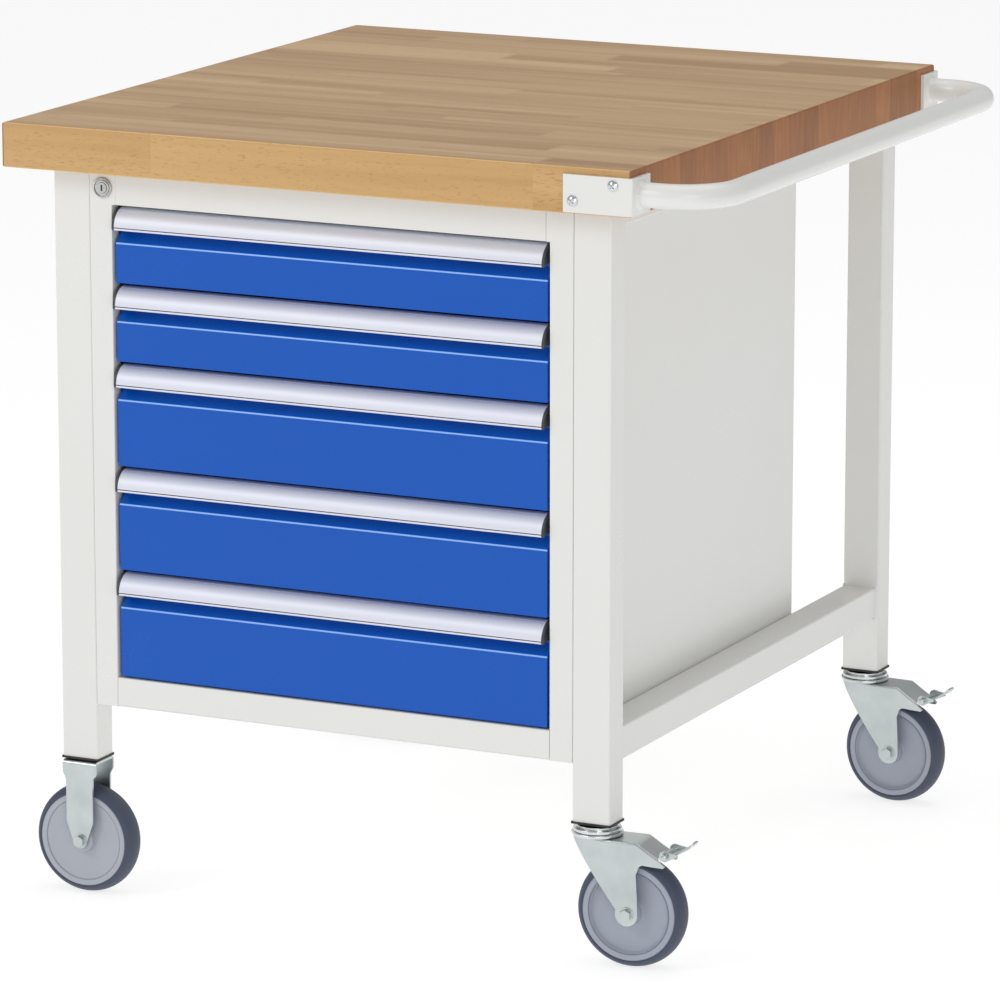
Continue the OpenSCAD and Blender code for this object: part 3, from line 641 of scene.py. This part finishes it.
def lockRing():
    # raised outer ring, groove and the face around the plug
    look = lockLook
    low, high = (Vector(corner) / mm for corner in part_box("lock_housing"))
    centre = (low + high) / 2
    radius, edge, bore, barrel = look["ringRadius"], look["ringRound"], look["bore"], look["barrel"]
    front, back = -look["proud"], high.y - low.y - look["proud"]
    profile = [(radius, 0), (radius, front + 1.1)] + arc((radius - edge, front + edge), edge, 0, -80, 4)
    profile += [(look["ringInner"] + out, front + deep) for out, deep in look["groove"]]
    profile += [(6.5, front + 0.15), (bore, front + 0.5), (bore, back), (barrel, back), (barrel, 0)]
    bm = spun(bmesh.new(), profile)
    settled(bm, (centre.x * mm, (low.y + look["proud"]) * mm, centre.z * mm))
    finished(bm, "lockRing", nickel, "bench", ["lock_housing"], smoothAngle=28)


def keyway():
    # a black box over the key's slot: painted shade for its depth
    low, high = (Vector(corner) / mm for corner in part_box("lock_housing"))
    centre = (low + high) / 2
    wide, tall = lockLook["keyWide"] / 2, lockLook["keyTall"] / 2
    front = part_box("lock_plug")[0][1] / mm - 0.05
    corners = [(-wide, -tall), (wide, -tall), (wide, tall), (-wide, tall)]
    bm = bmesh.new()
    plate(bm, [(centre.x + x, front, centre.z + z) for x, z in corners], (0, lockLook["keyDeep"], 0))
    settled(bm, (0, 0, 0))
    finished(bm, "keywayPaintedShade", blackPlastic, "lock_plug")


lockRing()
softened("lock_plug", nickel, lockLook["plugRound"], 2, name="lockPlug")
keyway()
painted("locking_bar", zinc)


handleLook = {"filletRun": 3.2, "bracketBend": 2.4 * mm, "bracketEdge": 0.6 * mm, "screwRound": 0.25 * mm}


def handleWelds():
    # a concave fillet where the tube meets each bracket
    low, high = (Vector(corner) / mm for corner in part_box("push_handle"))
    radius, run = (high.z - low.z) / 2, handleLook["filletRun"]
    curve = [(radius + run - run * sin(radians(a)), run - run * cos(radians(a))) for a in range(0, 91, 18)]
    bm = bmesh.new()
    for y in (low.y + radius, high.y - radius):
        ring = spun(bmesh.new(), [(radius - 0.6, 0)] + curve + [(radius - 0.6, run)], "X", 64)
        settled(ring, (low.x * mm, y * mm, (low.z + radius) * mm))
        addBm(bm, ring)
    finished(bm, "handleWelds", lightPaint, "bench", smoothAngle=60)


def bracketBend(edge):
    upright = abs(edge.verts[0].co.z - edge.verts[1].co.z) > 20 * mm
    low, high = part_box("front_handle_bracket")
    outer = abs(low[1])
    return upright and bothEnds(edge, lambda c: near(c.x, high[0]) and near(abs(c.y), outer))


painted("push_handle", lightPaint)
handleWelds()
for node in ("front_handle_bracket", "rear_handle_bracket"):
    softened(node, lightPaint, handleLook["bracketEdge"], 2, bracketBend, handleLook["bracketBend"])
softened("bracket_screws", brightZinc, handleLook["screwRound"], 2, name="bracketScrews")
print("lock and push handle made")


casterLook = {
    "wheelRadius": 62.5, "rimRadius": 53.5, "tyreHalf": 15.9, "crown": 24.0,
    "tyreLip": [(0, 1.2), (0.6, 0.4), (2.2, 0.2)],
    "forkOut": 21.5, "forkWall": 3.0, "trail": 42.0, "frontTurn": 3, "rearTurn": -4}
wheelLook = {
    "hub": [(6.1, 18.0), (12.4, 18.0), (13.4, 17.6), (14.0, 16.6)],
    "dishedWeb": [
        (14.4, 10.5), (16.5, 9.0), (30, 8.2), (40, 8.6),
        (42.6, 9.2), (44.2, 10.6), (45.2, 13.2), (46.2, 14.2)],
    "flatWeb": [(14.4, 12.6), (16.5, 12.2), (30, 12.0), (40, 12.6), (45.2, 13.3), (46.2, 13.4)],
    "rim": [(46.4, 12.9), (47.0, 12.9), (47.2, 14.2), (48.4, 14.9), (52.0, 15.0), (53.5, 14.4)]}
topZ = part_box("front_right_swivel_head")[1][2]


def tyreProfile():
    # (radius, along): a lip on the rim at each side and a crowned tread
    half, rim, crown = casterLook["tyreHalf"], casterLook["rimRadius"], casterLook["crown"]
    lip = casterLook["tyreLip"]
    tread = arc((casterLook["wheelRadius"] - crown, 0), crown, -33, 33, 22)
    return [(rim + r, a - half) for r, a in lip] + tread + [(rim + r, half - a) for r, a in reversed(lip)]


def centreProfile(dished):
    # from the bore outwards: hub ring, web, groove and rim, the same on both faces
    side = wheelLook["hub"] + wheelLook["dishedWeb" if dished else "flatWeb"] + wheelLook["rim"]
    return side + [(radius, -along) for radius, along in reversed(side)]


def wheelAt(node, label, place, turn):
    x = casterLook["trail"] if "right" in node else 0
    dished = "right" in node
    # the fixed wheels' flat discs take the paler copy, whose extra lightness is painted light
    plastic = wheelPlastic if dished else paintedLightWheelPlastic
    parts = [(tyreRubber, tyreProfile(), "Tyre"), (plastic, centreProfile(dished), "Centre")]
    for finish, profile, part in parts:
        bm = spun(bmesh.new(), profile, "Y", 128)
        bmesh.ops.translate(bm, verts=bm.verts, vec=(x, 0, casterLook["wheelRadius"]))
        settled(bm, place, turn)
        finished(bm, label + "Wheel" + part, finish, bodyOfNode[node], [node], smoothAngle=36)


boltLook = {
    "headRadius": 7.0, "headHigh": 4.2, "chamfer": 0.9, "shankRadius": 5.9, "shankInside": 1,
    "washerRadius": 8.4, "washerThick": 1.2, "washerRound": 0.3}


def hexBolt(bm, x, z, y, outward):
    # chamfered hex head on a washer, pointing along y
    look = boltLook
    radius, high = look["headRadius"], look["headHigh"]
    washer, thick = look["washerRadius"], look["washerThick"]
    head = bmesh.new()
    bmesh.ops.create_cone(head, cap_ends=True, segments=6, radius1=radius, radius2=radius, depth=high)
    rounded(head, [e for e in head.edges if bothEnds(e, lambda c: c.z > 0)], look["chamfer"], 2)
    bmesh.ops.translate(head, verts=head.verts, vec=(0, 0, high / 2 + thick))
    disc = bmesh.new()
    bmesh.ops.create_cone(disc, cap_ends=True, segments=48, radius1=washer, radius2=washer, depth=thick)
    bmesh.ops.translate(disc, verts=disc.verts, vec=(0, 0, thick / 2))
    rounded(disc, [e for e in disc.edges if bothEnds(e, lambda c: c.z > thick / 2)], look["washerRound"], 2)
    turned = Matrix.Rotation(radians(-90 * outward), 3, "X")
    for shape in (head, disc):
        bmesh.ops.rotate(shape, verts=shape.verts, cent=(0, 0, 0), matrix=turned)
        bmesh.ops.translate(shape, verts=shape.verts, vec=(x, y, z))
        addBm(bm, shape)


def axleSet(bm, x):
    # a bolt at each cheek and the shank between them
    out, z = casterLook["forkOut"], casterLook["wheelRadius"]
    radius, end = boltLook["shankRadius"], out + boltLook["shankInside"]
    hexBolt(bm, x, z, -out, -1)
    hexBolt(bm, x, z, out, 1)
    spun(bm, [(0.01, -end), (radius, -end), (radius, end), (0.01, end)], "Y", 48)
    moved = [v for v in bm.verts if hypot(v.co.x, v.co.z) < radius + 0.3]
    bmesh.ops.translate(bm, verts=moved, vec=(x, 0, z))


def fixedAxles():
    whole = bmesh.new()
    for end in ("front", "rear"):
        bm = bmesh.new()
        axleSet(bm, 0)
        centre = middleOf(end + "_left_leg")
        settled(bm, (centre.x, centre.y, 0))
        addBm(whole, bm)
    finished(whole, "fixedAxles", zinc, "bench", ["fixed_axles"], smoothAngle=30)


forkLook = {"shoulderRound": 5 * mm, "topRound": 4.6 * mm, "borderRound": 2.4 * mm, "axleClear": 7 * mm}


def fixedFork(end):
    # pressed U: round shoulders, borders curled back and a soft bend at the top
    node = end + "_left_fork"
    low, high = (Vector(corner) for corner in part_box(node))
    bm = cadCopy(node)

    def shoulder(edge):
        c0, c1 = edge.verts[0].co, edge.verts[1].co
        across = abs(c0.y - c1.y) > 1 * mm and near(c0.z, c1.z) and near(c0.x, c1.x)
        return across and low.z + 60 * mm < c0.z < high.z - 5 * mm

    def topBend(edge):
        return bothEnds(edge, lambda c: near(c.z, high.z)) and near(edge.verts[0].co.y, edge.verts[1].co.y)

    def atAxle(spot):
        across, up = spot.x - (low.x + high.x) / 2, spot.z - casterLook["wheelRadius"] * mm
        return hypot(across, up) < forkLook["axleClear"]

    def border(edge):
        outer = bothEnds(edge, lambda c: near(c.y, low.y) or near(c.y, high.y))
        return outer and not bothEnds(edge, atAxle)

    rounded(bm, sharpEdges(bm, shoulder, 12), forkLook["shoulderRound"], 4)
    rounded(bm, sharpEdges(bm, topBend), forkLook["topRound"], 5)
    rounded(bm, sharpEdges(bm, border, 20), forkLook["borderRound"], 4)
    finished(bm, end + "LeftFork", zinc, bodyOfNode[node], [node], outward=False, smoothAngle=40)


raceLook = {
    "collar": [(0.01, 0), (21.5, 0), (22, 0.4), (22, 2.4), (25.4, 2.6)], "groove": [(25.2, 6.9), (26.4, 7.1)],
    "kingpin": [(6.2, 10.7), (6.2, 15), (10, 15), (10, 19.6), (9.4, 20), (0.01, 20)],
    "upper": 25.4, "upperRound": 1.1, "lower": 27.2, "lowerRound": 1.2}


def raceway(end, place):
    # two-tier ball race with the kingpin under it; the lists are (radius, drop from the top)
    look, top = raceLook, topZ / mm
    parts = [look["collar"], look["groove"], look["kingpin"]]
    collar, groove, kingpin = ([(r, top - drop) for r, drop in part] for part in parts)
    profile = collar + arc((look["upper"], top - 3.7), look["upperRound"], 90, 0, 4)
    profile += arc((look["upper"], top - 5.6), look["upperRound"], 0, -60, 3)
    profile += groove + arc((look["lower"], top - 8.2), look["lowerRound"], 90, 0, 4)
    profile += [(28.4, top - 9.6)] + arc((27.4, top - 9.7), 1.0, 0, -80, 3) + kingpin
    node = end + "_right_swivel_head"
    bm = settled(spun(bmesh.new(), profile, "Z", 96), place)
    finished(bm, end + "Raceway", brightZinc, "bench", [node], smoothAngle=26)


noseLook = {
    "half": 21.5, "straightX": 23.5, "length": 52.0, "frontX": -26.0,
    "ridgeRound": 3.6, "edgeRound": 0.5 * mm,
    "stations": (-24, -21, -17, -12, -6, 1, 8, 15, 23.5, 40)}


def sideOutline():
    # (x, z) of a swivel fork's side: crown, brake arm, back edge, round end and slanting front
    axle = (casterLook["trail"], casterLook["wheelRadius"])
    crown = [(noseLook["frontX"], 143.6), (53, 143.6), (58, 140.6), (66, 135.4), (77.6, 128.6), (84.7, 121.5)]
    arm = arc((83.6, 120.3), 1.8, 35, -80, 4) + [(72, 118.9)]
    inner = arc((61.5, 113.0), 6.6, 92, 176, 5)
    back = [(52.9, 108), (54.3, 84)]
    foot = arc(axle, 13, 4, -200, 20)
    front = [(-24.6, 139.2)]
    return crown, arm + inner + back + foot + front


def sideY(x):
    # half width of the fork at x: straight sides that close in a long curve to the nose
    if x >= noseLook["straightX"]:
        return noseLook["half"]
    return noseLook["half"] * sqrt(max(0, 1 - ((noseLook["straightX"] - x) / noseLook["length"]) ** 2))


def swivelFork(end, place, turn):
    # two sides bridged along their crown, given a wall by a modifier
    node = end + "_right_fork"
    bm = bmesh.new()
    crown, rest = sideOutline()
    for side in (-1, 1):
        edges = chain(bm, [(x, side, z) for x, z in crown + rest], closed=True)
        bmesh.ops.contextual_create(bm, geom=edges)
    for station in noseLook["stations"]:
        bmesh.ops.bisect_plane(bm, geom=bm.verts[:] + bm.edges[:] + bm.faces[:],
                               plane_co=(station, 0, 0), plane_no=(1, 0, 0))
    for v in bm.verts:
        v.co.y *= sideY(v.co.x)
    over = [e for e in bm.edges if e.is_boundary and isCrownEdge(e)]
    bmesh.ops.bridge_loops(bm, edges=over)
    bmesh.ops.recalc_face_normals(bm, faces=bm.faces)
    ridge = sharpEdges(bm, lambda e: isCrownEdge(e) and abs(e.verts[0].co.y - e.verts[1].co.y) < 9, 50)
    rounded(bm, ridge, noseLook["ridgeRound"], 4)
    settled(bm, place, turn)
    piece = finished(bm, end + "RightFork", zinc, bodyOfNode[node], [node], smoothAngle=38)
    wall = piece.modifiers.new("wall", "SOLIDIFY")
    wall.thickness, wall.offset = casterLook["forkWall"] * mm, -1
    edge = piece.modifiers.new("edge", "BEVEL")
    edge.width, edge.segments = noseLook["edgeRound"], 2
    edge.limit_method, edge.angle_limit = "ANGLE", radians(50)
    piece.modifiers.move(0, 2)


def crownZ(x):
    # height of the crown's top line at x
    line = sideOutline()[0]
    for (x0, z0), (x1, z1) in zip(line, line[1:]):
        if x0 - 0.01 <= x <= x1 + 0.01:
            return z0 + (z1 - z0) * (x - x0) / (x1 - x0)
    return 0


def isCrownEdge(edge):
    return bothEnds(edge, lambda c: c.x < 78 and abs(c.z - crownZ(c.x)) < 0.05)


pedalLook = {
    "stations": [(80, 127.0, 13), (88, 129.0, 12.4), (96, 132.4, 11.0), (102, 135.8, 8.6), (107, 138.6, 8.0),
                 (110.5, 141.0, 8.8), (113, 143.6, 8.4), (114.4, 145.6, 6.6)],
    "thick": 2.2, "crown": 0.8, "edgeRound": 0.6, "pivot": (84, 131), "cheekOut": 17.4, "cheekRound": 0.4,
    "pinRadius": 2.9, "pinPast": 1.4, "pinHead": [(0.01, -0.4), (0.01, 0.6), (2.6, 0.3), (3.9, -0.4)]}


def pedalPlate(bm):
    # foot plate that narrows to a neck, widens to a spoon and turns up at its tip
    shares = (-1, -0.5, 0, 0.5, 1)
    x, z, half = pedalLook["stations"][0]
    edges = chain(bm, [(x, half * share, z) for share in shares])
    for x, z, half in pedalLook["stations"][1:]:
        made = bmesh.ops.extrude_edge_only(bm, edges=edges)["geom"]
        verts = sorted((g for g in made if isinstance(g, bmesh.types.BMVert)), key=lambda v: v.co.y)
        for v, share in zip(verts, shares):
            v.co = (x, half * share, z - pedalLook["crown"] * share * share)
        edges = [e for e in bm.edges if bothEnds(e, lambda c: near(c.x, x, 0.001))]
    bmesh.ops.recalc_face_normals(bm, faces=bm.faces)
    bmesh.ops.solidify(bm, geom=bm.faces[:], thickness=pedalLook["thick"])
    bmesh.ops.recalc_face_normals(bm, faces=bm.faces)
    rounded(bm, sharpEdges(bm, None, 50), pedalLook["edgeRound"], 2)


def pedalAt(end, place, turn):
    # the plate, a cheek at each side and the pivot pin
    node = end + "_right_brake_pedal"
    pivotX, pivotZ = pedalLook["pivot"]
    thick, out = pedalLook["thick"], pedalLook["cheekOut"]
    bm = bmesh.new()
    pedalPlate(bm)
    outline = arc((pivotX, pivotZ), 6, 90, 300, 12) + [(92, 128.5), (99, 131.5), (98, 134.5), (90, 135.6)]
    for inner in (-out, out - thick):
        cheek = bmesh.new()
        plate(cheek, [(x, inner, z) for x, z in outline], (0, thick, 0))
        bmesh.ops.recalc_face_normals(cheek, faces=cheek.faces)
        rounded(cheek, sharpEdges(cheek, None, 50), pedalLook["cheekRound"], 2)
        addBm(bm, cheek)
    radius, pin = pedalLook["pinRadius"], casterLook["forkOut"] + pedalLook["pinPast"]
    rod = spun(bmesh.new(), [(0.01, -pin), (radius, -pin), (radius, pin), (0.01, pin)], "Y", 32)
    for side in (-1, 1):
        addBm(rod, spun(bmesh.new(), [(r, side * (pin + past)) for r, past in pedalLook["pinHead"]], "Y", 32))
    bmesh.ops.translate(rod, verts=rod.verts, vec=(pivotX, 0, pivotZ))
    addBm(bm, rod)
    settled(bm, place, turn)
    finished(bm, end + "BrakePedal", zinc, bodyOfNode[node], [node], smoothAngle=34)


for end in ("front", "rear"):
    centre = middleOf(end + "_left_leg")
    fixedFork(end)
    wheelAt(end + "_left_wheel", end + "Left", (centre.x, centre.y, 0), 0)
    centre = middleOf(end + "_right_leg")
    place, turn = (centre.x, centre.y, 0), casterLook[end + "Turn"]
    raceway(end, place)
    swivelFork(end, place, turn)
    wheelAt(end + "_right_wheel", end + "Right", place, turn)
    bm = bmesh.new()
    axleSet(bm, casterLook["trail"])
    settled(bm, place, turn)
    node = end + "_right_axle"
    finished(bm, end + "RightAxle", zinc, bodyOfNode[node], [node], smoothAngle=30)
    pedalAt(end, place, turn)
fixedAxles()
print("casters made")


studio = {
    "floorSize": 60, "floorTone": tint(0.36, 0.36, 0.362), "floorGlow": 0.76,
    "worldTone": tint(1, 1, 1), "worldStrength": 0.44,
    "lights": [
        ("keyLight", (-3.2, -4.6, 4.2), (0, 0, 0.4), 1.9, 82),
        ("fillLight", (3.4, -4.6, 2.2), (0.2, 0.2, 0.5), 2.2, 36),
        ("topLight", (0.3, 0.6, 4.6), (0, 0, 0.5), 3.4, 52),
        ("rightEdgeLight", (1.7, -3.6, 0.42), (0.2, 0, 0.45), 0.4, 5),
        ("leftEdgeLight", (-2.9, -3.0, 0.5), (0, 0, 0.4), 0.5, 4)]}


def makeFloor():
    floorFinish = Finish("paleFloor", "", {
        "Roughness": 0.9, "Specular IOR Level": 0.1,
        "Emission Color": tint(1, 1, 1), "Emission Strength": studio["floorGlow"]})
    tone = studio["floorTone"]
    darker = tint(*(part * 0.99 for part in tone[:3]))
    floorFinish.feed("Base Color", floorFinish.mixed(floorFinish.noise(40, 2), tone, darker))
    bm = bmesh.new()
    bmesh.ops.create_grid(bm, x_segments=1, y_segments=1, size=studio["floorSize"] / 2)
    mesh = bpy.data.meshes.new("floor")
    bm.to_mesh(mesh)
    bm.free()
    floor = bpy.data.objects.new("floor", mesh)
    bpy.context.scene.collection.objects.link(floor)
    mesh.materials.append(floorFinish.material)


def aimed(thing, place, target):
    thing.location = place
    thing.rotation_mode = "QUATERNION"
    thing.rotation_quaternion = (Vector(target) - Vector(place)).to_track_quat("-Z", "Y")


def makeLights():
    world = bpy.data.worlds.new("studioWorld")
    world.use_nodes = True
    bpy.context.scene.world = world
    background = world.node_tree.nodes["Background"]
    background.inputs["Color"].default_value = studio["worldTone"]
    background.inputs["Strength"].default_value = studio["worldStrength"]
    for name, place, target, size, power in studio["lights"]:
        light = bpy.data.lights.new(name, "AREA")
        light.shape, light.size, light.energy = "SQUARE", size, power
        lamp = bpy.data.objects.new(name, light)
        bpy.context.scene.collection.objects.link(lamp)
        lamp.visible_camera = False
        aimed(lamp, place, target)


cameraLook = {
    "place": (2.91197, -6.06203, 1.90768), "turn": 25.874, "tilt": 12.545, "lens": 216.2, "sensor": 36,
    "nearest": 0.1, "farthest": 200}


def makeCamera():
    data = bpy.data.cameras.new("viewCamera")
    data.lens, data.sensor_width = cameraLook["lens"], cameraLook["sensor"]
    data.clip_start, data.clip_end = cameraLook["nearest"], cameraLook["farthest"]
    camera = bpy.data.objects.new("viewCamera", data)
    bpy.context.scene.collection.objects.link(camera)
    turn, tilt = radians(cameraLook["turn"]), radians(cameraLook["tilt"])
    ahead = Vector((-sin(turn) * cos(tilt), cos(turn) * cos(tilt), -sin(tilt)))
    aimed(camera, cameraLook["place"], Vector(cameraLook["place"]) + ahead)
    bpy.context.scene.camera = camera


makeFloor()
makeLights()
makeCamera()
bpy.context.scene.view_settings.view_transform = "Standard"
print("studio made")
